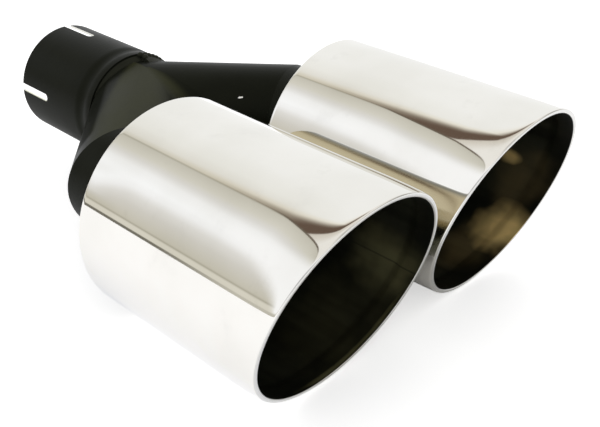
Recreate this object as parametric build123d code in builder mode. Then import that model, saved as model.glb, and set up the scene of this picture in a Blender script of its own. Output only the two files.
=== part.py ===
import os
from math import atan, cos, degrees, radians, sin, tan

from build123d import *

# Twin slant-cut exhaust tip: a slotted inlet collar feeds a Y of mitred pipes, and each leg of the Y
# carries a polished sleeve on a pressed ring. Sizes are in millimetres and degrees.
# The origin is the centre of the inlet's open rim. +Y points out of the inlet, -Y out of the two
# mouths, +Z is up, and left is the -X side.

# Inlet collar
inlet_bore = 60.0
pipe_wall = 1.2
collar_length = 65.5
slot_count = 4
slot_width = 4.2
slot_length = 25.0
slot_turn = -5.0
groove_inset = 8.0
groove_width = 12.0
groove_depth = 0.7

# Y of pipes: the branch ends slip into the collar with a gap that the weld fills
weld_gap = 2.0
branch_insert = 6.0
junction_ahead = 7.0
branch_angle = 42.0
elbow_to_sleeve = 32.0
pipe_reach = 16.0

# Polished sleeves
tip_od = 101.6
tip_gap = 6.4
tip_length = 109.0
slant = 16.0
sleeve_wall = 1.4
hem_depth = 9.0
rim_flat = 0.2
edge_break = 0.4

# Pressed rings between the pipe ends and the sleeves
ring_wall = 1.5
ring_recess = 2.0
ring_flange = 12.0
ring_neck = 7.0
ring_bend = 2.5
ring_fit = 0.1

# Weld beads
weld_root = 2.5
weld_leg = 3.0
run_leg = 11.0
run_sag = 0.6
run_start = 79.0
run_arc = 66.0
crotch_round = 16.0
crotch_ahead = 6.0
ring_weld_leg = 2.5
ring_weld_crown = 0.3

# Derived sizes
collar_bore_r = inlet_bore / 2
collar_r = collar_bore_r + pipe_wall
pipe_r = collar_bore_r - weld_gap
pipe_bore_r = pipe_r - pipe_wall
tip_r = tip_od / 2
hem_bore_r = tip_r - 2 * sleeve_wall
rim_round = sleeve_wall - rim_flat / 2
tip_x = (tip_od + tip_gap) / 2
collar_front_y = -collar_length
junction_y = collar_front_y - junction_ahead
elbow_y = junction_y - tip_x / tan(radians(branch_angle))
sleeve_rear_y = elbow_y - elbow_to_sleeve
mouth_y = sleeve_rear_y - tip_length
tip_run = tip_length + tip_od
neck_r = pipe_r + ring_fit
flange_r = tip_r - sleeve_wall - ring_fit
web_y = sleeve_rear_y - ring_recess
neck_end_y = web_y + ring_neck
flange_end_y = web_y - ring_flange

sides = {"left": -1, "right": 1}


def save(piece, name):
    """Label a finished piece and write its file."""
    piece.label = name
    export_step(piece, f"parts/{name}.step")


def branch_plane(side):
    """Plane across a branch at its elbow, facing up the branch towards the junction."""
    up_branch = (-side * sin(radians(branch_angle)), cos(radians(branch_angle)), 0)
    return Plane(origin=(side * tip_x, elbow_y, 0), x_dir=(0, 0, 1), z_dir=up_branch)


def elbow_plane(side):
    """Mitre plane of an elbow, facing the mouth."""
    half_angle = radians(branch_angle / 2)
    return Plane(
        origin=(side * tip_x, elbow_y, 0),
        x_dir=(0, 0, 1),
        z_dir=(side * sin(half_angle), -cos(half_angle), 0),
    )


def tip_plane(side, y):
    """Plane across a tip's axis at y, facing the mouth."""
    return Plane(origin=(side * tip_x, y, 0), x_dir=(1, 0, 0), z_dir=(0, -1, 0))


def slant_plane(side, depth):
    """Plane parallel to the slanted mouth, at a depth behind it, facing out of the mouth."""
    out_of_mouth = (0, -cos(radians(slant)), -sin(radians(slant)))
    mouth = Plane(origin=(side * tip_x, mouth_y, 0), x_dir=(1, 0, 0), z_dir=out_of_mouth)
    return mouth.offset(-depth)


def branch_length():
    """Length that takes a branch from its elbow to well inside the collar."""
    return (collar_length + junction_ahead) / cos(radians(branch_angle)) + 2 * tip_x


def solid_branch(side):
    """Outer envelope of a branch, cut off at the junction's mirror plane, the collar and the elbow."""
    with BuildPart() as envelope:
        with BuildSketch(branch_plane(side)):
            Circle(pipe_r)
        extrude(amount=branch_length(), both=True)
        split(bisect_by=Plane.YZ, keep=Keep.TOP if side > 0 else Keep.BOTTOM)
        split(bisect_by=branch_end, keep=Keep.TOP)
        split(bisect_by=elbow_plane(side), keep=Keep.BOTTOM)
    return envelope.part


def grooved_line(radius, edge_radius, floor_radius):
    """Collar outline at a radius, from the open rim to the front edge, dipping at the groove."""
    bend = degrees(2 * atan(2 * groove_depth / groove_width))
    groove_start = collar_front_y + groove_inset + groove_width / 2
    rear = Line((radius, 0), (radius, groove_start))
    way_in = JernArc(rear @ 1, rear % 1, edge_radius, -bend)
    floor = JernArc(way_in @ 1, way_in % 1, floor_radius, 2 * bend)
    way_out = JernArc(floor @ 1, floor % 1, edge_radius, -bend)
    return rear, Line(way_out @ 1, (radius, collar_front_y))


def tip_plug(side, radius, face):
    """Solid cylinder on a tip's axis, from the sleeve's rear edge to a slanted face."""
    with BuildPart() as plug:
        with BuildSketch(tip_plane(side, sleeve_rear_y)):
            Circle(radius)
        extrude(amount=tip_run)
        split(bisect_by=face, keep=Keep.BOTTOM)
    return plug.part


os.makedirs("parts", exist_ok=True)

branch_end = Plane(origin=(0, collar_front_y + branch_insert, 0), x_dir=(1, 0, 0), z_dir=(0, -1, 0))
envelopes = {side_name: solid_branch(side) for side_name, side in sides.items()}

# Inlet collar: grooved tube, slotted at the open rim, notched where the branches leave its front edge
groove_arc = groove_width / 2 / sin(2 * atan(2 * groove_depth / groove_width)) / 2
with BuildPart() as inlet_collar:
    with BuildSketch(Plane.XY):
        with BuildLine():
            outer = grooved_line(collar_r, groove_arc + pipe_wall / 2, groove_arc - pipe_wall / 2)
            inner = grooved_line(collar_bore_r, groove_arc - pipe_wall / 2, groove_arc + pipe_wall / 2)
            Line(outer[0] @ 0, inner[0] @ 0)
            Line(outer[1] @ 1, inner[1] @ 1)
        make_face()
    revolve(axis=Axis.Y)
    for index in range(slot_count):
        turn = radians(slot_turn + index * 360 / slot_count)
        with BuildSketch(Plane(origin=(0, 0, 0), x_dir=(0, 1, 0), z_dir=(cos(turn), 0, sin(turn)))):
            SlotOverall(2 * slot_length, slot_width)
        extrude(amount=2 * collar_r, mode=Mode.SUBTRACT)
    add(envelopes.values(), mode=Mode.SUBTRACT)
save(inlet_collar.part, "inlet_collar")

# Weld that closes the gap between the collar's front end and the branches, with a heavier run that
# covers the collar's edge over the top of the right branch
run_angle = radians(run_start)
run_plane = Plane(
    origin=(0, 0, 0),
    x_dir=(cos(run_angle), 0, sin(run_angle)),
    z_dir=(-sin(run_angle), 0, cos(run_angle)),
)
with BuildPart() as collar_weld:
    with BuildSketch(Plane.XY):
        with BuildLine():
            Polyline(
                (pipe_bore_r, collar_front_y + weld_root),
                (collar_bore_r, collar_front_y + weld_root),
                (collar_bore_r, collar_front_y),
                (pipe_bore_r, collar_front_y - weld_leg),
                close=True,
            )
        make_face()
    revolve(axis=Axis.Y)
    with BuildSketch(run_plane):
        with BuildLine():
            run_toe = (pipe_bore_r, collar_front_y - run_leg)
            Polyline(run_toe, (pipe_bore_r, collar_front_y), (collar_r, collar_front_y))
            SagittaArc((collar_r, collar_front_y), run_toe, run_sag)
        make_face()
    revolve(axis=Axis.Y, revolution_arc=run_arc)
    add(envelopes.values(), mode=Mode.SUBTRACT)
    add(inlet_collar.part, mode=Mode.SUBTRACT)
save(collar_weld.part, "collar_weld")

# Fillet weld in the crotch, along the mitre between the two branches, starting ahead of the junction
with BuildPart() as crotch_weld:
    add(envelopes.values())
    split(
        bisect_by=Plane(origin=(0, junction_y - crotch_ahead, 0), x_dir=(1, 0, 0), z_dir=(0, -1, 0)),
        keep=Keep.TOP,
    )
    mitre = crotch_weld.edges().sort_by(lambda edge: abs(edge.center().X))[0]
    fillet(mitre, radius=crotch_round)
    add(envelopes.values(), mode=Mode.SUBTRACT)
    add(collar_weld.part, mode=Mode.SUBTRACT)
save(crotch_weld.part, "crotch_weld")

for side_name, side in sides.items():
    # Branch pipe, mitred against the other branch and at its elbow
    with BuildPart() as branch_pipe:
        add(envelopes[side_name])
        with BuildSketch(branch_plane(side)):
            Circle(pipe_bore_r)
        extrude(amount=branch_length(), both=True, mode=Mode.SUBTRACT)
    save(branch_pipe.part, f"{side_name}_branch_pipe")

    # Pipe end past the elbow, reaching into the sleeve
    with BuildPart() as tip_pipe:
        with BuildSketch(tip_plane(side, sleeve_rear_y - pipe_reach)):
            Circle(pipe_r)
            Circle(pipe_bore_r, mode=Mode.SUBTRACT)
        extrude(amount=-(pipe_reach + elbow_to_sleeve + tip_x))
        split(bisect_by=elbow_plane(side), keep=Keep.TOP)
    save(tip_pipe.part, f"{side_name}_tip_pipe")

    # Pressed ring: neck on the pipe, flat web, flange in the sleeve's bore
    tip_axis = Axis((side * tip_x, 0, 0), (0, 1, 0))
    tip_section = Plane(origin=(side * tip_x, 0, 0), x_dir=(1, 0, 0), z_dir=(0, 0, 1))
    with BuildPart() as back_ring:
        with BuildSketch(tip_section):
            with BuildLine():
                rear_skin = FilletPolyline(
                    (neck_r + ring_wall, neck_end_y),
                    (neck_r + ring_wall, web_y),
                    (flange_r, web_y),
                    (flange_r, flange_end_y),
                    radius=(ring_bend, ring_bend + ring_wall),
                )
                front_skin = FilletPolyline(
                    (neck_r, neck_end_y),
                    (neck_r, web_y - ring_wall),
                    (flange_r - ring_wall, web_y - ring_wall),
                    (flange_r - ring_wall, flange_end_y),
                    radius=(ring_bend + ring_wall, ring_bend),
                )
                Line(rear_skin @ 0, front_skin @ 0)
                Line(rear_skin @ 1, front_skin @ 1)
            make_face()
        revolve(axis=tip_axis)
    save(back_ring.part, f"{side_name}_back_ring")

    # Fillet weld between the ring's neck and the pipe
    with BuildPart() as ring_weld:
        with BuildSketch(tip_section):
            with BuildLine():
                Polyline(
                    (pipe_r, neck_end_y + ring_weld_leg),
                    (pipe_r, neck_end_y),
                    (neck_r + ring_wall, neck_end_y),
                )
                SagittaArc(
                    (neck_r + ring_wall, neck_end_y),
                    (pipe_r, neck_end_y + ring_weld_leg),
                    -ring_weld_crown,
                )
            make_face()
        revolve(axis=tip_axis)
    save(ring_weld.part, f"{side_name}_ring_weld")

    # Polished sleeve: slant-cut shell with its edge turned in to a double-thickness rim
    shell_bore = tip_plug(side, tip_r - sleeve_wall, slant_plane(side, hem_depth))
    with BuildPart() as tip_sleeve:
        add(tip_plug(side, tip_r, slant_plane(side, 0)))
        add(shell_bore, mode=Mode.SUBTRACT)
        with BuildSketch(tip_plane(side, sleeve_rear_y)):
            Circle(hem_bore_r)
        extrude(amount=tip_run, mode=Mode.SUBTRACT)
        rim = tip_sleeve.faces().filter_by(slant_plane(side, 0)).sort_by(Axis.Y)[0]
        fillet(rim.edges(), radius=rim_round)
        rear_edge = tip_sleeve.faces().sort_by(Axis.Y)[-1].outer_wire().edges()
        fillet(rear_edge, radius=edge_break)
    save(tip_sleeve.part, f"{side_name}_tip_sleeve")
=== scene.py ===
"""Looks of a twin exhaust tip: two polished slant-cut sleeves on a black painted Y pipe.

Lengths are in metres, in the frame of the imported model: the origin is the centre of the
inlet's open rim, +Y points out of the inlet, +Z is up, and both mouths open towards -Y.
"""
import math

import bmesh
import bpy
from mathutils import Matrix, Vector, noise


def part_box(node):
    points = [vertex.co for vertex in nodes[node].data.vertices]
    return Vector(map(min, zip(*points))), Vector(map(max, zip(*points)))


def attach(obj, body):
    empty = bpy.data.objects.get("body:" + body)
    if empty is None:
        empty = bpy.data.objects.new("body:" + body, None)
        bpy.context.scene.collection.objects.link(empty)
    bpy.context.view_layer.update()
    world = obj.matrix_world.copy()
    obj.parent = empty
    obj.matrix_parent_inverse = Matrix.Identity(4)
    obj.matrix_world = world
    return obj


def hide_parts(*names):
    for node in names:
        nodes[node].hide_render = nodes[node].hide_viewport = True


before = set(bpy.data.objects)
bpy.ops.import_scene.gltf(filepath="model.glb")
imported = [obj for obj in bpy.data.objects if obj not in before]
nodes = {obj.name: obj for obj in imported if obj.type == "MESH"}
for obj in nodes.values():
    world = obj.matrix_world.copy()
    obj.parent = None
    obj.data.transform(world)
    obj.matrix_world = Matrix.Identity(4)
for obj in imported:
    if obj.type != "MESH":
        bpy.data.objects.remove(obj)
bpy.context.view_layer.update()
MM = 0.001

# The photograph's frame and the camera that took it
IMAGE_WIDTH = 600
FOCAL_PIXELS = 919.74
SENSOR_WIDTH = 36.0
CAMERA_AZIMUTH = math.radians(-46.27)
CAMERA_ELEVATION = math.radians(30.25)
CAMERA_ROLL = math.radians(0.77)
CAMERA_DISTANCE = 455.8 * MM
FRAME_OFFSET = (-20.71 * MM, 23.58 * MM)
NEAR_CLIP = 10 * MM

# The floor: half its width, its white, and how far it is lifted for the camera and for mirrors
FLOOR_HALF = 4.0
FLOOR_WHITE = 0.92
CAMERA_LIFT = 0.53
MIRROR_LIFT = 0.41
MIRROR_TONE = (0.97, 1.0, 1.11)

# Sleeve sizes that the node boxes don't give
SLANT = math.radians(16)
SLEEVE_WALL = 1.4 * MM
HEM_DEPTH = 9 * MM
HEM_FADE = 6 * MM
OUTER_ROUND = 0.9 * MM
INNER_ROUND = 0.7 * MM
EDGE_BREAK = 0.4 * MM
CURL_DEPTH = 0.35 * MM
CURL_LENGTH = 22 * MM
LIP_DEPTH = 0.12 * MM
LIP_START = 0.3 * MM
SLEEVE_CREASE = math.radians(40)
WALL_LEAN = {"left": math.radians(1.75), "right": 0.0}

# How finely a sleeve is meshed: steps round it, rows along its walls as shares of its length and
# along its hem by depth, and steps of the rim's outer and inner round. Rim steel starts after
# RIM_AFTER_STEP of the outer round and goes on to RIM_UP_TO_STEP of the inner.
SLEEVE_SEGMENTS = 288
OUTER_ROWS = (0.985, 0.93, 0.8, 0.65, 0.5, 0.38, 0.3, 0.25)
INNER_ROWS = (0.2, 0.3, 0.5, 0.7, 0.9, 0.99, 1.0)
HEM_ROWS = (1.0 * MM, 1.6 * MM, 3.5 * MM, 6.0 * MM)
CURL_ROWS = 28
RIM_STEPS = 8
RIM_AFTER_STEP = 2
RIM_UP_TO_STEP = 4
OUTSIDE, INSIDE, RIM = 0, 1, 2

# Pipework sizes that the node boxes don't give, and which way the left branch's outer side faces
BRANCH_ANGLE = math.radians(42)
OUTER_SIDE = (-math.cos(BRANCH_ANGLE), math.sin(BRANCH_ANGLE), 0)
SLOT_LENGTH = 25 * MM
RING_FACE_DEPTH = 2.75 * MM

# Weld marks: the ripples of the ring welds, how the bead wanders round each, and where the heavy run
# over the right branch starts
RIPPLE_PITCH = 2.2 * MM
RIPPLE_HEIGHT = 0.22 * MM
BEAD_CROWN = 0.25 * MM
BEAD_WANDER = 0.12 * MM
WANDER_RATE = 6
WANDER_SHIFT = 100
WELD_CREASE = math.radians(50)
STEPS_PER_RIPPLE = 8
RUN_START = math.radians(79)

# The knot at that start: its knobs, each with its turn past the start, height off the collar's outside,
# distance ahead of its edge and radius, and the tail that trails back from them
KNOBS = [
    (math.radians(1), -0.5 * MM, 0.4 * MM, 1.7 * MM),
    (math.radians(-2), -1.4 * MM, 3.2 * MM, 1.7 * MM),
]
TAIL_LUMPS = 6
TAIL_PITCH = math.radians(-4.5)
TAIL_RADIUS = 1.9 * MM
TAIL_SINK = 0.8 * MM
TAIL_SAG = 0.04 * MM
TAIL_AHEAD = 0.7 * MM
TAIL_DRIFT = 0.3 * MM
LUMP_GRAIN = 2.2 * MM
LUMP_UNEVENNESS = 0.15
LUMP_VOXEL = 0.22 * MM

# Paints: the two tones of the cloud in each, how strongly each reflects, the tint of what they reflect,
# and the steel under them. The bead tones are lighter, painted light on welds that sit in shade.
PAINT_TONES = ((0.0078, 0.0086, 0.0058), (0.0108, 0.0118, 0.0080))
LIT_BEAD_TONES = ((0.016, 0.017, 0.012), (0.024, 0.025, 0.018))
COLLAR_GLOSS = 0.038
TOP_LIT_GLOSS = 0.029
PIPE_GLOSS = 0.045
BEAD_GLOSS = 0.06
PAINT_TINT = (1.0, 1.0, 0.72)
BARE_STEEL = (0.80, 0.785, 0.745)

# Steels: the polished wall, its rub marks and the painted reflection and shade on one flank, the rim,
# darker as painted shade, and the bore with its painted shade at the front
POLISHED_TONES = ((0.78, 0.76, 0.705), (0.82, 0.80, 0.75))
RUBBED_TONE = (0.77, 0.75, 0.70)
FLANK_REFLECTION_TONES = ((0.22, 0.22, 0.17), (0.60, 0.53, 0.37))
FLANK_SHADE = (0.18, 0.175, 0.14)
RIM_SHADE_TONES = ((0.65, 0.64, 0.60), (0.70, 0.69, 0.65))
BORE_TONES = ((0.013, 0.0135, 0.009), (0.030, 0.031, 0.020))
BORE_FRONT_SHADE = (0.0075, 0.0078, 0.0052)

# Back rings: the paint outside and the sooty steel inside
RING_PAINT = (0.0108, 0.0116, 0.0084)
SOOTY_TONES = ((0.05, 0.047, 0.034), (0.15, 0.13, 0.09))

# Painted top light on the left branch, olive, on what faces up: its colour, how fast it spreads round the
# pipe away from the collar, and where it ends
TOP_LIGHT_COLOUR = (0.036, 0.0375, 0.018)
TOP_LIGHT_SPREAD = 9.5
TOP_LIGHT_END = 2.5 * MM
TOP_LIGHT_FADE = 3 * MM

# Painted shade on the left branch's outer side, made by dulling its paint: how far ahead of the collar's
# edge it reaches
SHADE_REACH = 52 * MM
SHADE_FADE = 4 * MM

# A chip in the right branch's paint: distance up from the elbow, turn round the pipe, length and width
CHIP_ALONG = 24.5 * MM
CHIP_TURN = math.radians(137.6)
CHIP_LENGTH = 2.6 * MM
CHIP_WIDTH = 1.1 * MM

# Painted reflections and highlights inside the sleeves, bronze patches: turn round the axis, depth behind
# the mouth, half width round, half length and strength
REFLECTION_PATCHES = {
    "left": [
        (math.radians(-13), 17 * MM, math.radians(17), 17 * MM, 0.165),
        (math.radians(-58), 24 * MM, math.radians(26), 26 * MM, 0.05),
        (math.radians(-64), 1.8 * MM, math.radians(34), 1.2 * MM, 0.16),
    ],
    "right": [
        (math.radians(-47), 10 * MM, math.radians(14.5), 12 * MM, 1.25),
        (math.radians(-3), 27 * MM, math.radians(4), 6 * MM, 0.75),
        (math.radians(-14), 17 * MM, math.radians(20), 14 * MM, 0.09),
        (math.radians(-68), 19 * MM, math.radians(20), 12 * MM, 0.12),
    ],
}
REFLECTION_COLOURS = {"left": (0.86, 0.80, 0.36), "right": (1.0, 0.72, 0.28)}

# The seams along the rolled sheets' inner walls: turn round the axis, and half width round
SEAM_TURNS = {"left": math.radians(-13.2), "right": math.radians(150)}
SEAM_HALF_WIDTH = math.radians(0.7)

# The light tent runs along Y like a tunnel. Its shades go by degrees round it: 0 overhead, 90 at the
# left horizon and -90 at the right one. How far along it lies is the Y of a ray's direction.
TENT_SPAN = 110.0
TENT_SEAM = 9.0
TENT_PARTING = 0.562
SHEET_SHADES = [
    (-90, (1.05, 1.065, 1.08)),
    (-30, (1.05, 1.065, 1.08)),
    (-8, (0.99, 1.0, 0.99)),
    (3, (0.89, 0.885, 0.85)),
    (8.0, (0.78, 0.77, 0.71)),
    (TENT_SEAM, (0.42, 0.41, 0.35)),
    (10.0, (0.66, 0.645, 0.58)),
    (20, (0.77, 0.76, 0.70)),
    (26, (0.85, 0.85, 0.85)),
    (33, (1.04, 1.06, 1.10)),
    (44, (1.13, 1.16, 1.22)),
    (51, (1.06, 1.08, 1.13)),
    (58, (0.87, 0.87, 0.87)),
    (67, (0.75, 0.74, 0.71)),
    (81, (0.66, 0.64, 0.56)),
    (82.4, (0.46, 0.44, 0.37)),
    (83.8, (0.80, 0.78, 0.70)),
    (92, (0.80, 0.78, 0.70)),
    (94, (1.1, 1.1, 1.1)),
]
FOLD_SHADES = [
    (-92, 0.95),
    (-80, 0.62),
    (-66, 0.42),
    (-46, 1.0),
    (-14, 0.95),
    (6, 0.6),
    (22, 1.0),
    (44, 0.98),
    (62, 0.45),
    (82, 0.7),
    (92, 0.95),
]

# The left sheet's edge ahead of the parting, and the rounded corner where its shade ends far back
EDGE_SWING = 100.0
EDGE_DARK = (0.16, 0.13, 0.10)
CORNER_START = 0.675
CORNER_RATE = 12000.0
CORNER_LIMIT = 14.0

# The tent's opening: how far along its sill lies overhead and how that changes per degree, and the
# height of the dark room over the sill, which grows over some degrees
SILL = 0.404
SILL_LEFT_RISE = 0.0066
SILL_RIGHT_RISE = 0.0041
ROOM_START = -7.0
ROOM_SPREAD = 13.0
ROOM_RISE = 0.0066
ROOM_LEAST = 0.036
ROOM_DARK = (0.145, 0.10, 0.075)
ROOM_GLOW = (0.92, 0.865, 0.765)
FRONT_TONES = ((0.98, 0.97, 0.95), (0.76, 0.72, 0.66))

# The bright left front: how far along it ends at a turn, how that drops per degree past it, and its
# tone, then the tone of the dark line where the left sheet meets the floor
LEFT_FRONT_END = 0.54
LEFT_FRONT_TURN = 60.0
LEFT_FRONT_DROP = 0.0042
LEFT_FRONT_TONE = (1.12, 1.14, 1.19)
HORIZON_DARK = (0.20, 0.19, 0.16)


class Shader:
    """A node tree with short calls for the nodes that the materials use."""

    def __init__(self, owner):
        owner.use_nodes = True
        self.tree = owner.node_tree
        self.tree.nodes.clear()

    def add(self, kind, **settings):
        made = self.tree.nodes.new(kind)
        for name, value in settings.items():
            setattr(made, name, value)
        return made

    def put(self, socket, value):
        """Link another node's output into a socket, or set a plain value on it."""
        if isinstance(value, bpy.types.NodeSocket):
            self.tree.links.new(value, socket)
        else:
            socket.default_value = value

    def math(self, operation, *values):
        made = self.add("ShaderNodeMath", operation=operation)
        for socket, value in zip(made.inputs, values):
            self.put(socket, value)
        return made.outputs[0]

    def product(self, first, *others):
        for other in others:
            first = self.math("MULTIPLY", first, other)
        return first

    def smooth(self, value, low, high, to_low=0.0, to_high=1.0):
        """A soft step from to_low, where value is low, to to_high, where it is high."""
        made = self.add("ShaderNodeMapRange", interpolation_type="SMOOTHSTEP")
        for socket, entry in zip(made.inputs, (value, low, high, to_low, to_high)):
            self.put(socket, entry)
        return made.outputs[0]

    def mix(self, factor, first, second, blend="MIX"):
        """A mix of two colours, each another node's output, a grey level or an (r, g, b)."""
        made = self.add("ShaderNodeMix", data_type="RGBA", blend_type=blend)
        self.put(made.inputs["Factor"], factor)
        for socket, entry in ((made.inputs[6], first), (made.inputs[7], second)):
            self.put(socket, entry if isinstance(entry, bpy.types.NodeSocket) else colour(entry))
        return made.outputs[2]

    def noise(self, scale, detail, vector, roughness=0.5):
        made = self.add("ShaderNodeTexNoise")
        made.inputs["Scale"].default_value = scale
        made.inputs["Detail"].default_value = detail
        made.inputs["Roughness"].default_value = roughness
        self.put(made.inputs["Vector"], vector)
        return made.outputs["Fac"]

    def streaks(self, scale, detail, vector, along):
        """Noise that is stretched or closed up along Y by a factor."""
        made = self.add("ShaderNodeMapping")
        made.inputs["Scale"].default_value = (1.0, along, 1.0)
        self.put(made.inputs["Vector"], vector)
        return self.noise(scale, detail, made.outputs["Vector"])

    def ramp(self, factor, stops):
        """A colour ramp of (place, grey or colour) stops."""
        made = self.add("ShaderNodeValToRGB")
        points = made.color_ramp.elements
        while len(points) < len(stops):
            points.new(1.0)
        for point, (place, shade) in zip(points, stops):
            point.position = place
            point.color = colour(shade)
        self.put(made.inputs["Fac"], factor)
        return made.outputs["Color"]

    def bump(self, height, strength, distance):
        made = self.add("ShaderNodeBump")
        made.inputs["Strength"].default_value = strength
        made.inputs["Distance"].default_value = distance
        self.put(made.inputs["Height"], height)
        return made.outputs["Normal"]

    def place(self):
        return self.add("ShaderNodeTexCoord").outputs["Object"]

    def normal(self):
        return self.add("ShaderNodeNewGeometry").outputs["Normal"]

    def split(self, vector):
        made = self.add("ShaderNodeSeparateXYZ")
        self.put(made.inputs[0], vector)
        return made.outputs

    def vector_math(self, operation, *values, output="Vector"):
        made = self.add("ShaderNodeVectorMath", operation=operation)
        for socket, value in zip(made.inputs, values):
            self.put(socket, value)
        return made.outputs[output]

    def dot(self, first, second):
        return self.vector_math("DOT_PRODUCT", first, second, output="Value")

    def finish(self, surface, output="ShaderNodeOutputMaterial"):
        self.put(self.add(output).inputs["Surface"], surface)


def colour(shade):
    """A grey level or an (r, g, b) as the four numbers that a colour socket takes."""
    parts = (shade, shade, shade) if isinstance(shade, (int, float)) else shade
    return (*parts, 1.0)


def new_material(name):
    material = bpy.data.materials.new(name)
    return material, Shader(material)


def slot_walls(s, place):
    """Where the collar's slots were sawn through the paint: faces that don't look out or in."""
    y = s.split(place)["Y"]
    radial = s.vector_math("NORMALIZE", s.vector_math("MULTIPLY", place, (1, 0, 1)))
    cut = s.smooth(s.math("ABSOLUTE", s.dot(radial, s.normal())), 0.35, 0.6, 1.0, 0.0)
    behind_rim = s.smooth(y, -0.6 * MM, -0.2 * MM, 1.0, 0.0)
    within = s.smooth(y, -SLOT_LENGTH - 2 * MM, -SLOT_LENGTH - 1 * MM)
    return s.product(cut, behind_rim, within)


def chip_in_branch(s, place):
    """A small ragged spot on the right branch where the paint has come off."""
    pipe_low, pipe_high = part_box("right_tip_pipe")
    pipe_r = (pipe_high.z - pipe_low.z) / 2
    elbow = Vector(((pipe_low.x + pipe_high.x) / 2, pipe_high.y - pipe_r * math.tan(BRANCH_ANGLE / 2), 0))
    up_branch = Vector((-math.sin(BRANCH_ANGLE), math.cos(BRANCH_ANGLE), 0))
    sideways = Vector((up_branch.y, -up_branch.x, 0))
    upright = Vector((0, 0, 1))
    out = math.cos(CHIP_TURN) * sideways + math.sin(CHIP_TURN) * upright
    around = math.cos(CHIP_TURN) * upright - math.sin(CHIP_TURN) * sideways
    centre = elbow + CHIP_ALONG * up_branch + pipe_r * out
    off = s.vector_math("SUBTRACT", place, centre)
    along = s.math("DIVIDE", s.dot(off, up_branch), CHIP_LENGTH / 2)
    across = s.math("DIVIDE", s.dot(off, around), CHIP_WIDTH / 2)
    reach = s.math("SQRT", s.math("ADD", s.math("POWER", along, 2.0), s.math("POWER", across, 2.0)))
    ragged = s.math("ADD", reach, s.smooth(s.noise(900, 2, place), 0.3, 0.7, -0.3, 0.3))
    return s.smooth(ragged, 0.8, 1.1, 1.0, 0.0)


def top_light_field(s, place, normal, cloud):
    """How strongly the painted top light lies: on what faces up, held off beside the collar as painted
    shade, and not past the crotch.
    """
    at = s.split(place)
    collar_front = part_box("inlet_collar")[0].y
    clear_of_collar = s.math("MULTIPLY", s.math("SUBTRACT", collar_front, at["Y"]), TOP_LIGHT_SPREAD)
    turned_away = s.math("SUBTRACT", s.dot(normal, OUTER_SIDE), clear_of_collar)
    return s.product(
        s.smooth(s.split(normal)["Z"], 0.66, 1.0),
        s.smooth(cloud, 0.2, 0.8, 0.65, 1.0),
        s.smooth(turned_away, 0.10, 0.32, 1.0, 0.0),
        s.smooth(at["X"], TOP_LIGHT_END - TOP_LIGHT_FADE, TOP_LIGHT_END + TOP_LIGHT_FADE, 1.0, 0.0),
    )


def collar_shade(s, place, normal):
    """Where the left branch turns outwards beside the collar, and its paint is dulled as painted shade."""
    shade_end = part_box("inlet_collar")[0].y - SHADE_REACH
    beside = s.smooth(s.split(place)["Y"], shade_end - SHADE_FADE, shade_end + SHADE_FADE)
    return s.product(s.smooth(s.dot(normal, OUTER_SIDE), 0.50, 0.66), beside)


def black_paint(name, tones, gloss, top_light=None, bare=None):
    """Satin heat-proof black paint with a fine orange peel, with a painted top light of a colour on what
    faces up, and worn to bare steel where the bare function says."""
    material, s = new_material(name)
    place = s.place()
    peel = s.noise(700, 2, place)
    cloud = s.noise(38, 4, place)
    shader = s.add("ShaderNodeBsdfPrincipled")
    shader.inputs["Specular IOR Level"].default_value = gloss
    shader.inputs["Specular Tint"].default_value = colour(PAINT_TINT)
    tone = s.mix(s.smooth(cloud, 0.3, 0.75), *tones)
    # Painted light: an olive top light on what faces up, held off beside the collar as painted shade
    if top_light:
        normal = s.normal()
        tone = s.mix(top_light_field(s, place, normal, cloud), tone, top_light)
        # Painted shade: beside the collar the paint's reflection is dulled
        shade = collar_shade(s, place, normal)
        s.put(shader.inputs["Specular IOR Level"], s.smooth(shade, 0.0, 1.0, gloss, 0.1 * gloss))
    if bare:
        worn = bare(s, place)
        tone = s.mix(worn, tone, BARE_STEEL)
        s.put(shader.inputs["Metallic"], worn)
    s.put(shader.inputs["Base Color"], tone)
    s.put(shader.inputs["Roughness"], s.smooth(cloud, 0.25, 0.8, 0.32, 0.42))
    s.put(shader.inputs["Normal"], s.bump(peel, 0.25, 0.15 * MM))
    s.finish(shader.outputs["BSDF"])
    return material


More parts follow.
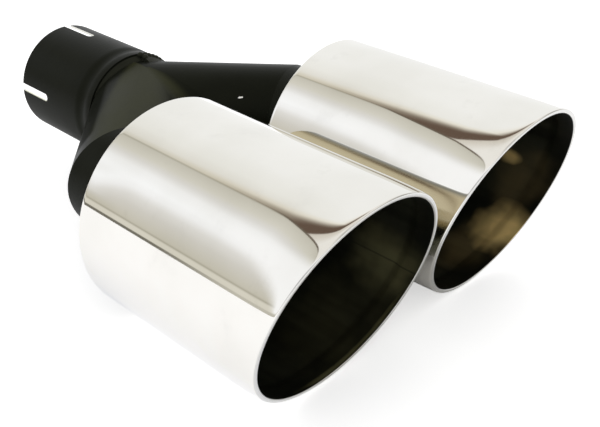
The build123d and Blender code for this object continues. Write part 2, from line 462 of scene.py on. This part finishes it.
def polished_steel(name, lean):
    """Mirror-polished stainless sheet with a faint buffing haze and a few rub marks. The lean is how far
    the hand-polished wall falls away towards the mouth, which only its reflections show. On the flank that
    faces the other tip that wall has painted reflection and shade: straw where it faces up, darker where
    it faces down and towards the flank's edges."""
    material, s = new_material(name)
    place = s.place()
    buff = s.streaks(260, 4, place, along=14.0)
    rub = s.smooth(s.noise(48, 5, place, 0.65), 0.56, 0.72)
    haze = s.noise(22, 3, place)
    shader = s.add("ShaderNodeBsdfPrincipled")
    shader.inputs["Metallic"].default_value = 1.0
    clean = s.mix(s.smooth(haze, 0.35, 0.65), *POLISHED_TONES)
    tone = s.mix(rub, clean, RUBBED_TONE)
    dull = s.math("ADD", s.smooth(buff, 0.3, 0.8, 0.03, 0.05), s.math("MULTIPLY", rub, 0.05))
    if lean:
        height = s.math("MULTIPLY", s.split(place)["Y"], math.tan(lean))
        s.put(shader.inputs["Normal"], s.bump(height, 1.0, 1.0))
        # Painted reflection and shade on the flank that faces the other tip
        facing = s.split(s.normal())
        flank_reflection = s.mix(s.smooth(facing["Z"], 0.0, 0.3), *FLANK_REFLECTION_TONES)
        flank_light = s.mix(s.smooth(facing["X"], 0.66, 0.82), FLANK_SHADE, flank_reflection)
        on_flank = s.smooth(facing["X"], 0.50, 0.60)
        tone = s.mix(on_flank, tone, flank_light)
        dull = s.math("ADD", dull, s.math("MULTIPLY", on_flank, 0.17))
    s.put(shader.inputs["Roughness"], dull)
    s.put(shader.inputs["Base Color"], tone)
    s.finish(shader.outputs["BSDF"])
    return material


def rim_steel():
    """The rolled rim: the same sheet, left a little duller by the forming tool, and darker, as painted
    shade.
    """
    material, s = new_material("rim_steel")
    grain = s.noise(300, 3, s.place())
    shader = s.add("ShaderNodeBsdfPrincipled")
    shader.inputs["Metallic"].default_value = 1.0
    # Painted shade: the rim's steel is darker than the wall's
    s.put(shader.inputs["Base Color"], s.mix(grain, *RIM_SHADE_TONES))
    s.put(shader.inputs["Roughness"], s.smooth(grain, 0.3, 0.8, 0.14, 0.22))
    s.finish(shader.outputs["BSDF"])
    return material


def reflection_mask(s, place, turn, depth, patches, seam_turn):
    """How strongly the inner wall shows painted bronze reflections, from the patches of that sleeve. The
    seam stays dark."""
    blotch = s.smooth(s.noise(60, 2, place), 0.2, 0.8, -0.35, 0.35)
    total = 0.0
    for centre, deep, half_turn, half_depth, strength in patches:
        round_off = s.math("DIVIDE", s.math("SUBTRACT", turn, centre), half_turn)
        depth_off = s.math("DIVIDE", s.math("SUBTRACT", depth, deep), half_depth)
        reach = s.math("ADD", s.math("POWER", round_off, 2.0), s.math("POWER", depth_off, 2.0))
        spot = s.smooth(s.math("ADD", s.math("SQRT", reach), blotch), 0.1, 1.5, strength, 0.0)
        total = s.math("MAXIMUM", total, spot)
    off_seam = s.math("ABSOLUTE", s.math("SUBTRACT", turn, seam_turn))
    return s.math("MULTIPLY", total, s.smooth(off_seam, 0.3 * SEAM_HALF_WIDTH, SEAM_HALF_WIDTH, 0.45, 1.0))


def inner_steel(side_name, axis_x, mouth_y):
    """A sleeve's inner wall: rolled sheet, dark, with painted shade that darkens it towards the mouth and
    painted bronze reflections.
    """
    material, s = new_material(f"{side_name}_inner_steel")
    place = s.place()
    soot = s.noise(45, 4, place)
    streak = s.streaks(90, 3, place, along=0.12)
    x, y, z = s.split(place)
    turn = s.math("ARCTAN2", z, s.math("SUBTRACT", x, axis_x))
    mouth = s.math("SUBTRACT", mouth_y, s.math("MULTIPLY", z, math.tan(SLANT)))
    depth = s.math("SUBTRACT", y, mouth)
    deep = s.mix(s.smooth(streak, 0.35, 0.65), *BORE_TONES)
    # Painted shade: the wall is darker towards the mouth
    wall = s.mix(s.smooth(depth, 0.3 * HEM_DEPTH, 1.8 * HEM_DEPTH), BORE_FRONT_SHADE, deep)
    # Painted reflections: bronze patches and highlights on the wall
    mask = reflection_mask(s, place, turn, depth, REFLECTION_PATCHES[side_name], SEAM_TURNS[side_name])
    reflected = s.math("MULTIPLY", mask, s.smooth(streak, 0.3, 0.6, 0.75, 1.0))
    shader = s.add("ShaderNodeBsdfPrincipled")
    shader.inputs["Metallic"].default_value = 0.3
    shader.inputs["Specular IOR Level"].default_value = 0.15
    s.put(shader.inputs["Base Color"], s.mix(reflected, wall, REFLECTION_COLOURS[side_name]))
    s.put(shader.inputs["Roughness"], s.smooth(soot, 0.3, 0.8, 0.34, 0.46))
    s.finish(shader.outputs["BSDF"])
    return material


def ring_finish(name, face_y):
    """A pressed ring: black paint behind its web, sooty steel in front of it."""
    material, s = new_material(name)
    place = s.place()
    inside = s.smooth(s.split(place)["Y"], face_y - 0.2 * MM, face_y + 0.2 * MM, 1.0, 0.0)
    soot = s.noise(60, 4, place)
    steel = s.mix(soot, *SOOTY_TONES)
    shader = s.add("ShaderNodeBsdfPrincipled")
    shader.inputs["Specular IOR Level"].default_value = 0.12
    s.put(shader.inputs["Base Color"], s.mix(inside, RING_PAINT, steel))
    s.put(shader.inputs["Metallic"], s.math("MULTIPLY", inside, 0.6))
    s.put(shader.inputs["Roughness"], s.smooth(soot, 0.3, 0.8, 0.32, 0.46))
    s.finish(shader.outputs["BSDF"])
    return material


def floor_material(dim_x, dim_back, dim_front):
    """White sweep: plain diffuse for light, lifted to white for the camera and for mirrors. For mirrors
    the lift is left out between the tips and under the pipework, a painted shadow there."""
    material, s = new_material("white_sweep")
    path = s.add("ShaderNodeLightPath")
    at = s.split(s.place())
    beside = s.smooth(s.math("ABSOLUTE", at["X"]), 0.6 * dim_x, 1.4 * dim_x)
    behind = s.smooth(at["Y"], dim_back, dim_back + 2 * dim_x)
    ahead = s.smooth(at["Y"], dim_front - dim_x, dim_front, 1.0, 0.0)
    # Painted shadow for mirrors: no lift between the tips and under the pipework
    open_floor = s.math("MAXIMUM", beside, s.math("MAXIMUM", behind, ahead))
    diffuse = s.add("ShaderNodeBsdfDiffuse")
    diffuse.inputs["Color"].default_value = colour(FLOOR_WHITE)
    mirrored = path.outputs["Is Glossy Ray"]
    for_camera = s.math("MULTIPLY", path.outputs["Is Camera Ray"], CAMERA_LIFT)
    for_mirrors = s.product(mirrored, open_floor, MIRROR_LIFT)
    lift = s.add("ShaderNodeEmission")
    s.put(lift.inputs["Color"], s.mix(mirrored, 1.0, MIRROR_TONE))
    s.put(lift.inputs["Strength"], s.math("ADD", for_camera, for_mirrors))
    both = s.add("ShaderNodeAddShader")
    s.put(both.inputs[0], diffuse.outputs["BSDF"])
    s.put(both.inputs[1], lift.outputs["Emission"])
    s.finish(both.outputs["Shader"])
    return material


def tent_ramp(s, turn, shades):
    """Shades of the tent over the degrees round it."""
    share = s.math("DIVIDE", s.math("ADD", turn, TENT_SPAN), 2 * TENT_SPAN)
    return s.ramp(share, [((degrees + TENT_SPAN) / (2 * TENT_SPAN), shade) for degrees, shade in shades])


def sheet_degrees(s, turn, y):
    """Degrees round the tent as its left sheet hangs: ahead of the parting its edge swings away from
    the seam, and far back its shade ends in a rounded corner."""
    ahead = s.math("MAXIMUM", s.math("SUBTRACT", TENT_PARTING, y), 0.0)
    swing = s.product(ahead, EDGE_SWING, s.smooth(turn, 30.0, 75.0, 1.0, 0.0))
    past_corner = s.math("MAXIMUM", s.math("SUBTRACT", y, CORNER_START), 0.0)
    curve = s.math("MULTIPLY", s.math("POWER", past_corner, 2.0), CORNER_RATE)
    rounding = s.math("MINIMUM", curve, CORNER_LIMIT)
    corner = s.product(rounding, s.smooth(turn, 40.0, 50.0), s.smooth(turn, 72.0, 80.0, 1.0, 0.0))
    return s.math("SUBTRACT", s.math("SUBTRACT", turn, swing), corner)


def add_opening(s, tent, turn, y, sheet_turn):
    """To the right of the left sheet's edge the tent stands open: a dark room, soft on top, and a pale
    front below."""
    left_rise = s.math("MULTIPLY", s.math("MAXIMUM", turn, 0.0), SILL_LEFT_RISE)
    right_rise = s.math("MULTIPLY", s.math("MINIMUM", turn, 0.0), SILL_RIGHT_RISE)
    sill = s.math("ADD", left_rise, s.math("ADD", right_rise, SILL))
    level = s.math("SUBTRACT", y, sill)
    past_edge = s.smooth(sheet_turn, TENT_SEAM - 0.6, TENT_SEAM + 0.6, 1.0, 0.0)
    into_room = s.math("MAXIMUM", s.math("SUBTRACT", turn, ROOM_START), 0.0)
    widening = s.math("MINIMUM", into_room, ROOM_SPREAD)
    room_height = s.math("ADD", s.math("MULTIPLY", widening, ROOM_RISE), ROOM_LEAST)
    up_room = s.math("DIVIDE", level, room_height)
    near_room = s.product(s.smooth(up_room, 0.6, 2.7, 1.0, 0.0), past_edge, s.smooth(turn, -70.0, -5.0))
    in_room = s.product(s.smooth(up_room, 0.45, 1.6, 1.0, 0.0), past_edge, s.smooth(turn, -70.0, -15.0))
    in_front = s.product(s.smooth(level, -0.006, 0.006, 1.0, 0.0), past_edge)
    front = s.mix(s.smooth(level, -0.10, 0.0), *FRONT_TONES)
    tent = s.mix(near_room, tent, ROOM_GLOW, "MULTIPLY")
    tent = s.mix(in_room, tent, ROOM_DARK)
    return s.mix(in_front, tent, front)


def add_left_front(s, tent, turn, y):
    """Ahead on the left the tent is bright, up to a line that drops towards the floor."""
    drop = s.math("MULTIPLY", s.math("SUBTRACT", turn, LEFT_FRONT_TURN), LEFT_FRONT_DROP)
    edge = s.math("SUBTRACT", LEFT_FRONT_END, drop)
    inside = s.product(
        s.smooth(s.math("SUBTRACT", y, edge), -0.05, 0.04, 1.0, 0.0),
        s.smooth(turn, 30.0, 45.0),
        s.smooth(turn, 86.0, 90.0, 1.0, 0.0),
    )
    return s.mix(inside, tent, LEFT_FRONT_TONE)


def add_dark_lines(s, tent, turn, y, sheet_turn):
    """The left sheet's dark edge ahead of the parting, and the dark line where it meets the floor."""
    off_edge = s.math("ABSOLUTE", s.math("SUBTRACT", sheet_turn, TENT_SEAM))
    on_edge = s.product(
        s.smooth(off_edge, 0.4, 1.2, 1.0, 0.0),
        s.smooth(y, 0.36, 0.44),
        s.smooth(y, 0.55, 0.58, 1.0, 0.0),
    )
    on_horizon = s.product(
        s.smooth(turn, 87.8, 88.8),
        s.smooth(turn, 91.0, 93.0, 1.0, 0.0),
        s.smooth(y, 0.56, 0.66, 0.3, 1.0),
    )
    tent = s.mix(on_edge, tent, EDGE_DARK)
    return s.mix(on_horizon, tent, HORIZON_DARK)


def studio_world():
    """A white light tent: white to the camera, and to mirrors two sheets with a seam overhead, a
    shaded left sheet, an opening and a dark line along the floor."""
    world = bpy.data.worlds.new("light_tent")
    bpy.context.scene.world = world
    s = Shader(world)
    x, y, z = s.split(s.add("ShaderNodeTexCoord").outputs["Generated"])
    turn = s.math("MULTIPLY", s.math("ARCTAN2", s.math("MULTIPLY", x, -1.0), z), 180 / math.pi)
    sheet_turn = sheet_degrees(s, turn, y)
    tent = tent_ramp(s, sheet_turn, SHEET_SHADES)
    tent = add_opening(s, tent, turn, y, sheet_turn)
    tent = add_left_front(s, tent, turn, y)
    tent = add_dark_lines(s, tent, turn, y, sheet_turn)
    # Behind the tips' own reach the tent hangs in soft folds, which only other views find mirrored
    tent = s.mix(s.smooth(y, -0.05, 0.2, 1.0, 0.0), tent, tent_ramp(s, turn, FOLD_SHADES), "MULTIPLY")
    camera_sees = s.add("ShaderNodeLightPath").outputs["Is Camera Ray"]
    background = s.add("ShaderNodeBackground")
    s.put(background.inputs["Color"], s.mix(camera_sees, tent, 1.0))
    s.finish(background.outputs["Background"], "ShaderNodeOutputWorld")


def curl_in(back):
    """How far the outside has curled in, a distance behind the mouth: a long draw and a tighter lip."""
    left = max(0.0, 1 - back / CURL_LENGTH)
    reach = CURL_LENGTH + LIP_START
    lip = math.log(reach / (min(back, CURL_LENGTH) + LIP_START)) - left * CURL_LENGTH / reach
    return CURL_DEPTH * left ** 2 + LIP_DEPTH * lip


def arc(steps, start=0.0):
    """Angles in even steps from a start to a right angle."""
    return [start + (math.pi / 2 - start) * step / steps for step in range(steps + 1)]


def outer_section(outer_r, length, wall_end):
    """The outside of a sleeve's wall, from its rear edge, broken by a small round, to the rim. The
    rows close up towards the rim."""
    points = []
    for a in arc(4):
        radius = outer_r - EDGE_BREAK * (1 - math.sin(a))
        points.append((radius, length - EDGE_BREAK * (1 - math.cos(a)), OUTSIDE))
    for row in OUTER_ROWS:
        points.append((outer_r, length * row, OUTSIDE))
    for row in range(CURL_ROWS):
        back = wall_end + (CURL_LENGTH - wall_end) * (1 - row / CURL_ROWS) ** 2
        points.append((outer_r - curl_in(back), back, OUTSIDE))
    return points


def rim_section(centre_r, rim_tilt, hem_r):
    """The rolled rim: from the outside round to the front, then from the front round to the hem."""
    points = []
    for step, a in enumerate(arc(RIM_STEPS, rim_tilt)):
        zone = RIM if step > RIM_AFTER_STEP else OUTSIDE
        points.append((centre_r + OUTER_ROUND * math.cos(a), OUTER_ROUND * (1 - math.sin(a)), zone))
    for step, a in enumerate(arc(RIM_STEPS)):
        zone = INSIDE if step > RIM_UP_TO_STEP else RIM
        points.append((hem_r + INNER_ROUND * (1 - math.sin(a)), INNER_ROUND * (1 - math.cos(a)), zone))
    return points


def inner_section(inner_r, hem_r, length):
    """The hem, its end, and the inner wall back to the rear edge."""
    points = [(hem_r, back, INSIDE) for back in HEM_ROWS]
    for step in range(RIM_STEPS + 1):
        share = step / RIM_STEPS
        rise = (1 - math.cos(math.pi * share)) / 2
        points.append((hem_r + (inner_r - hem_r) * rise, HEM_DEPTH + HEM_FADE * (share - 0.25), INSIDE))
    return points + [(inner_r, length * row, INSIDE) for row in INNER_ROWS]


def sleeve_section(outer_r, length):
    """(radius, distance behind the mouth, zone) round the wall: from the rear outer edge along
    the outside, over the rolled rim and back along the inside."""
    inner_r = outer_r - SLEEVE_WALL
    hem_r = outer_r - 2 * SLEEVE_WALL
    tilt_step = 0.05 * MM
    rim_tilt = math.atan((curl_in(OUTER_ROUND) - curl_in(OUTER_ROUND + tilt_step)) / tilt_step)
    wall_end = OUTER_ROUND * (1 - math.sin(rim_tilt))
    centre_r = outer_r - curl_in(wall_end) - OUTER_ROUND * math.cos(rim_tilt)
    outside = outer_section(outer_r, length, wall_end)
    return outside + rim_section(centre_r, rim_tilt, hem_r) + inner_section(inner_r, hem_r, length)


def mesh_from(bm, name):
    mesh = bpy.data.meshes.new(name)
    bm.to_mesh(mesh)
    bm.free()
    return mesh


def add_piece(name, mesh, materials, node_name):
    """Link a finished mesh as a piece that rides with the part and may stand for a node."""
    piece = bpy.data.objects.new(name, mesh)
    bpy.context.scene.collection.objects.link(piece)
    for material in materials:
        mesh.materials.append(material)
    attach(piece, "root")
    if node_name:
        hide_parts(node_name)


def join_rows(bm, rows, zones, sharp_angle):
    """Close rows of points round an axis into one skin, smooth but for edges past an angle. Each
    band of faces takes the material of its first row's zone."""
    count = len(rows)
    segments = len(rows[0])
    for index in range(count):
        near = rows[index]
        far = rows[(index + 1) % count]
        for step in range(segments):
            after = (step + 1) % segments
            face = bm.faces.new((near[step], near[after], far[after], far[step]))
            face.smooth = True
            face.material_index = zones[index]
    bmesh.ops.recalc_face_normals(bm, faces=bm.faces)
    for edge in bm.edges:
        edge.smooth = edge.calc_face_angle(0.0) < sharp_angle


def sleeve_frame(node_name):
    """A sleeve's radius, axis and ends, from its node's box: the mouth is taken on the axis."""
    low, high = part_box(node_name)
    outer_r = (high.z - low.z) / 2
    mouth_y = low.y + math.tan(SLANT) * outer_r
    return outer_r, (low.x + high.x) / 2, mouth_y, high.y


def make_sleeve(node_name, materials):
    """One slant-cut sleeve as a closed mesh of rows round the tip's axis."""
    outer_r, axis_x, mouth_y, rear_y = sleeve_frame(node_name)
    length = rear_y - mouth_y
    section = sleeve_section(outer_r, length)
    zones = [zone for _, _, zone in section]
    bm = bmesh.new()
    rows = [[] for _ in section]
    for step in range(SLEEVE_SEGMENTS):
        a = 2 * math.pi * step / SLEEVE_SEGMENTS
        for row, (radius, back, _) in zip(rows, section):
            z = radius * math.sin(a)
            mouth = mouth_y - math.tan(SLANT) * z
            y = mouth + back
            if back > CURL_LENGTH:
                stretch = (rear_y - mouth - CURL_LENGTH) / (length - CURL_LENGTH)
                y = mouth + CURL_LENGTH + (back - CURL_LENGTH) * stretch
            row.append(bm.verts.new((axis_x + radius * math.cos(a), y, z)))
    join_rows(bm, rows, zones, SLEEVE_CREASE)
    mesh = mesh_from(bm, f"{node_name}_polished")
    add_piece(mesh.name, mesh, materials, node_name)


def make_ring_weld(node_name, pipe_name, material):
    """A fillet weld round a pipe, crowned and rippled as the torch went round."""
    low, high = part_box(node_name)
    pipe_low, pipe_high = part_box(pipe_name)
    axis_x = (low.x + high.x) / 2
    outer_r = (high.x - low.x) / 2
    pipe_r = (pipe_high.z - pipe_low.z) / 2
    ripples = round(2 * math.pi * outer_r / RIPPLE_PITCH)
    segments = ripples * STEPS_PER_RIPPLE
    face_steps = 6
    bm = bmesh.new()
    rows = [[] for _ in range(face_steps + 2)]
    for step in range(segments):
        a = 2 * math.pi * step / segments
        wave = (step % STEPS_PER_RIPPLE) / STEPS_PER_RIPPLE
        spot = Vector((WANDER_RATE * math.cos(a), WANDER_RATE * math.sin(a), WANDER_SHIFT * axis_x))
        wander = BEAD_WANDER * noise.noise(spot)
        for index in range(face_steps + 1):
            t = index / face_steps
            crown = 4 * t * (1 - t) * (BEAD_CROWN + wander - RIPPLE_HEIGHT * (1 - wave) * wave * 4)
            radius = outer_r + (pipe_r - outer_r) * t + crown
            y = low.y + (high.y - low.y) * t + crown
            rows[index].append(bm.verts.new((axis_x + radius * math.cos(a), y, radius * math.sin(a))))
        rows[-1].append(bm.verts.new((axis_x + pipe_r * math.cos(a), low.y, pipe_r * math.sin(a))))
    join_rows(bm, rows, [OUTSIDE] * len(rows), WELD_CREASE)
    mesh = mesh_from(bm, f"{node_name}_rippled")
    add_piece(mesh.name, mesh, [material], node_name)


def knot_lumps():
    """(turn, height, ahead, radius) of the knot's lumps: the knobs, and a tail that sinks and drifts
    ahead as it goes."""
    lumps = list(KNOBS)
    for step in range(1, TAIL_LUMPS + 1):
        sink = TAIL_SINK + TAIL_SAG * step ** 2
        ahead = TAIL_AHEAD + TAIL_DRIFT * step
        lumps.append((TAIL_PITCH * step, -sink, ahead, TAIL_RADIUS))
    return lumps


def soft_skin(mesh):
    """One rounded skin over all the shells of a mesh."""
    rough = bpy.data.objects.new(mesh.name, mesh)
    bpy.context.scene.collection.objects.link(rough)
    remesh = rough.modifiers.new("remesh", "REMESH")
    remesh.mode = "VOXEL"
    remesh.voxel_size = LUMP_VOXEL
    soften = rough.modifiers.new("soften", "SMOOTH")
    soften.factor = 0.5
    soften.iterations = 20
    skin = bpy.data.meshes.new_from_object(rough.evaluated_get(bpy.context.evaluated_depsgraph_get()))
    bpy.data.objects.remove(rough)
    for polygon in skin.polygons:
        polygon.use_smooth = True
    return skin


def make_weld_lumps(material):
    """The knot of weld where the heavy run starts at the collar's edge, as one remeshed skin."""
    low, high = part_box("inlet_collar")
    collar_r = (high.x - low.x) / 2
    bm = bmesh.new()
    for turn, height, ahead, size in knot_lumps():
        a = RUN_START + turn
        r = collar_r + height
        centre = Vector((r * math.cos(a), low.y - ahead, r * math.sin(a)))
        place = Matrix.Translation(centre)
        made = bmesh.ops.create_icosphere(bm, subdivisions=3, radius=size, matrix=place)
        for vert in made["verts"]:
            away = vert.co - centre
            vert.co = centre + away * (1 + LUMP_UNEVENNESS * noise.noise(vert.co / LUMP_GRAIN))
    skin = soft_skin(mesh_from(bm, "weld_lumps_rough"))
    skin.name = "weld_lumps"
    add_piece("weld_lumps", skin, [material], None)


def set_material(node_name, material):
    mesh = nodes[node_name].data
    mesh.materials.clear()
    mesh.materials.append(material)


def make_floor(height):
    mesh = bpy.data.meshes.new("floor")
    signs = ((-1, -1), (1, -1), (1, 1), (-1, 1))
    corners = [(x * FLOOR_HALF, y * FLOOR_HALF, height) for x, y in signs]
    mesh.from_pydata(corners, [], [(0, 1, 2, 3)])
    floor = bpy.data.objects.new("floor", mesh)
    bpy.context.scene.collection.objects.link(floor)
    tip_low, tip_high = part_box("right_tip_sleeve")
    inlet_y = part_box("inlet_collar")[1].y
    mesh.materials.append(floor_material((tip_low.x + tip_high.x) / 2, inlet_y, tip_low.y))


def make_camera(target):
    ahead = -Vector(
        (
            math.sin(CAMERA_AZIMUTH) * math.cos(CAMERA_ELEVATION),
            -math.cos(CAMERA_AZIMUTH) * math.cos(CAMERA_ELEVATION),
            math.sin(CAMERA_ELEVATION),
        )
    )
    level_right = ahead.cross(Vector((0, 0, 1))).normalized()
    level_up = level_right.cross(ahead)
    right = math.cos(CAMERA_ROLL) * level_right + math.sin(CAMERA_ROLL) * level_up
    up = -math.sin(CAMERA_ROLL) * level_right + math.cos(CAMERA_ROLL) * level_up
    place = target - CAMERA_DISTANCE * ahead - FRAME_OFFSET[0] * right - FRAME_OFFSET[1] * up
    data = bpy.data.cameras.new("camera")
    data.sensor_width = SENSOR_WIDTH
    data.lens = FOCAL_PIXELS / IMAGE_WIDTH * SENSOR_WIDTH
    data.clip_start = NEAR_CLIP
    camera = bpy.data.objects.new("camera", data)
    bpy.context.scene.collection.objects.link(camera)
    axes = Matrix((right, up, -ahead)).transposed()
    camera.matrix_world = Matrix.Translation(place) @ axes.to_4x4()
    bpy.context.scene.camera = camera


collar_paint = black_paint("collar_paint", PAINT_TONES, COLLAR_GLOSS, bare=slot_walls)
# The left branch's paint carries the painted top light
top_lit_paint = black_paint("top_lit_paint", PAINT_TONES, TOP_LIT_GLOSS, top_light=TOP_LIGHT_COLOUR)
pipe_paint = black_paint("pipe_paint", PAINT_TONES, PIPE_GLOSS)
chipped_paint = black_paint("chipped_paint", PAINT_TONES, PIPE_GLOSS, bare=chip_in_branch)
# Painted light: a lighter copy of the black paint for the welds that sit in shade, the collar weld in its
# crease and the knot
lit_bead_paint = black_paint("lit_bead_paint", LIT_BEAD_TONES, BEAD_GLOSS)
rim = rim_steel()

for node_name in nodes:
    set_material(node_name, pipe_paint)
set_material("inlet_collar", collar_paint)
set_material("collar_weld", lit_bead_paint)
# The left branch and the crotch weld carry the painted top light
set_material("left_branch_pipe", top_lit_paint)
set_material("crotch_weld", top_lit_paint)
set_material("right_branch_pipe", chipped_paint)
for side_name in ("left", "right"):
    sleeve_name = f"{side_name}_tip_sleeve"
    _, axis_x, mouth_y, rear_y = sleeve_frame(sleeve_name)
    steel = polished_steel(f"{side_name}_polished_steel", WALL_LEAN[side_name])
    make_sleeve(sleeve_name, [steel, inner_steel(side_name, axis_x, mouth_y), rim])
    finish = ring_finish(f"{side_name}_ring_finish", rear_y - RING_FACE_DEPTH)
    set_material(f"{side_name}_back_ring", finish)
    make_ring_weld(f"{side_name}_ring_weld", f"{side_name}_tip_pipe", pipe_paint)
make_weld_lumps(lit_bead_paint)

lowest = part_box("left_tip_sleeve")[0].z
sleeve_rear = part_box("left_tip_sleeve")[1].y
make_floor(lowest)
studio_world()
make_camera(Vector((0, sleeve_rear, 0)))
bpy.context.scene.view_settings.view_transform = "Standard"
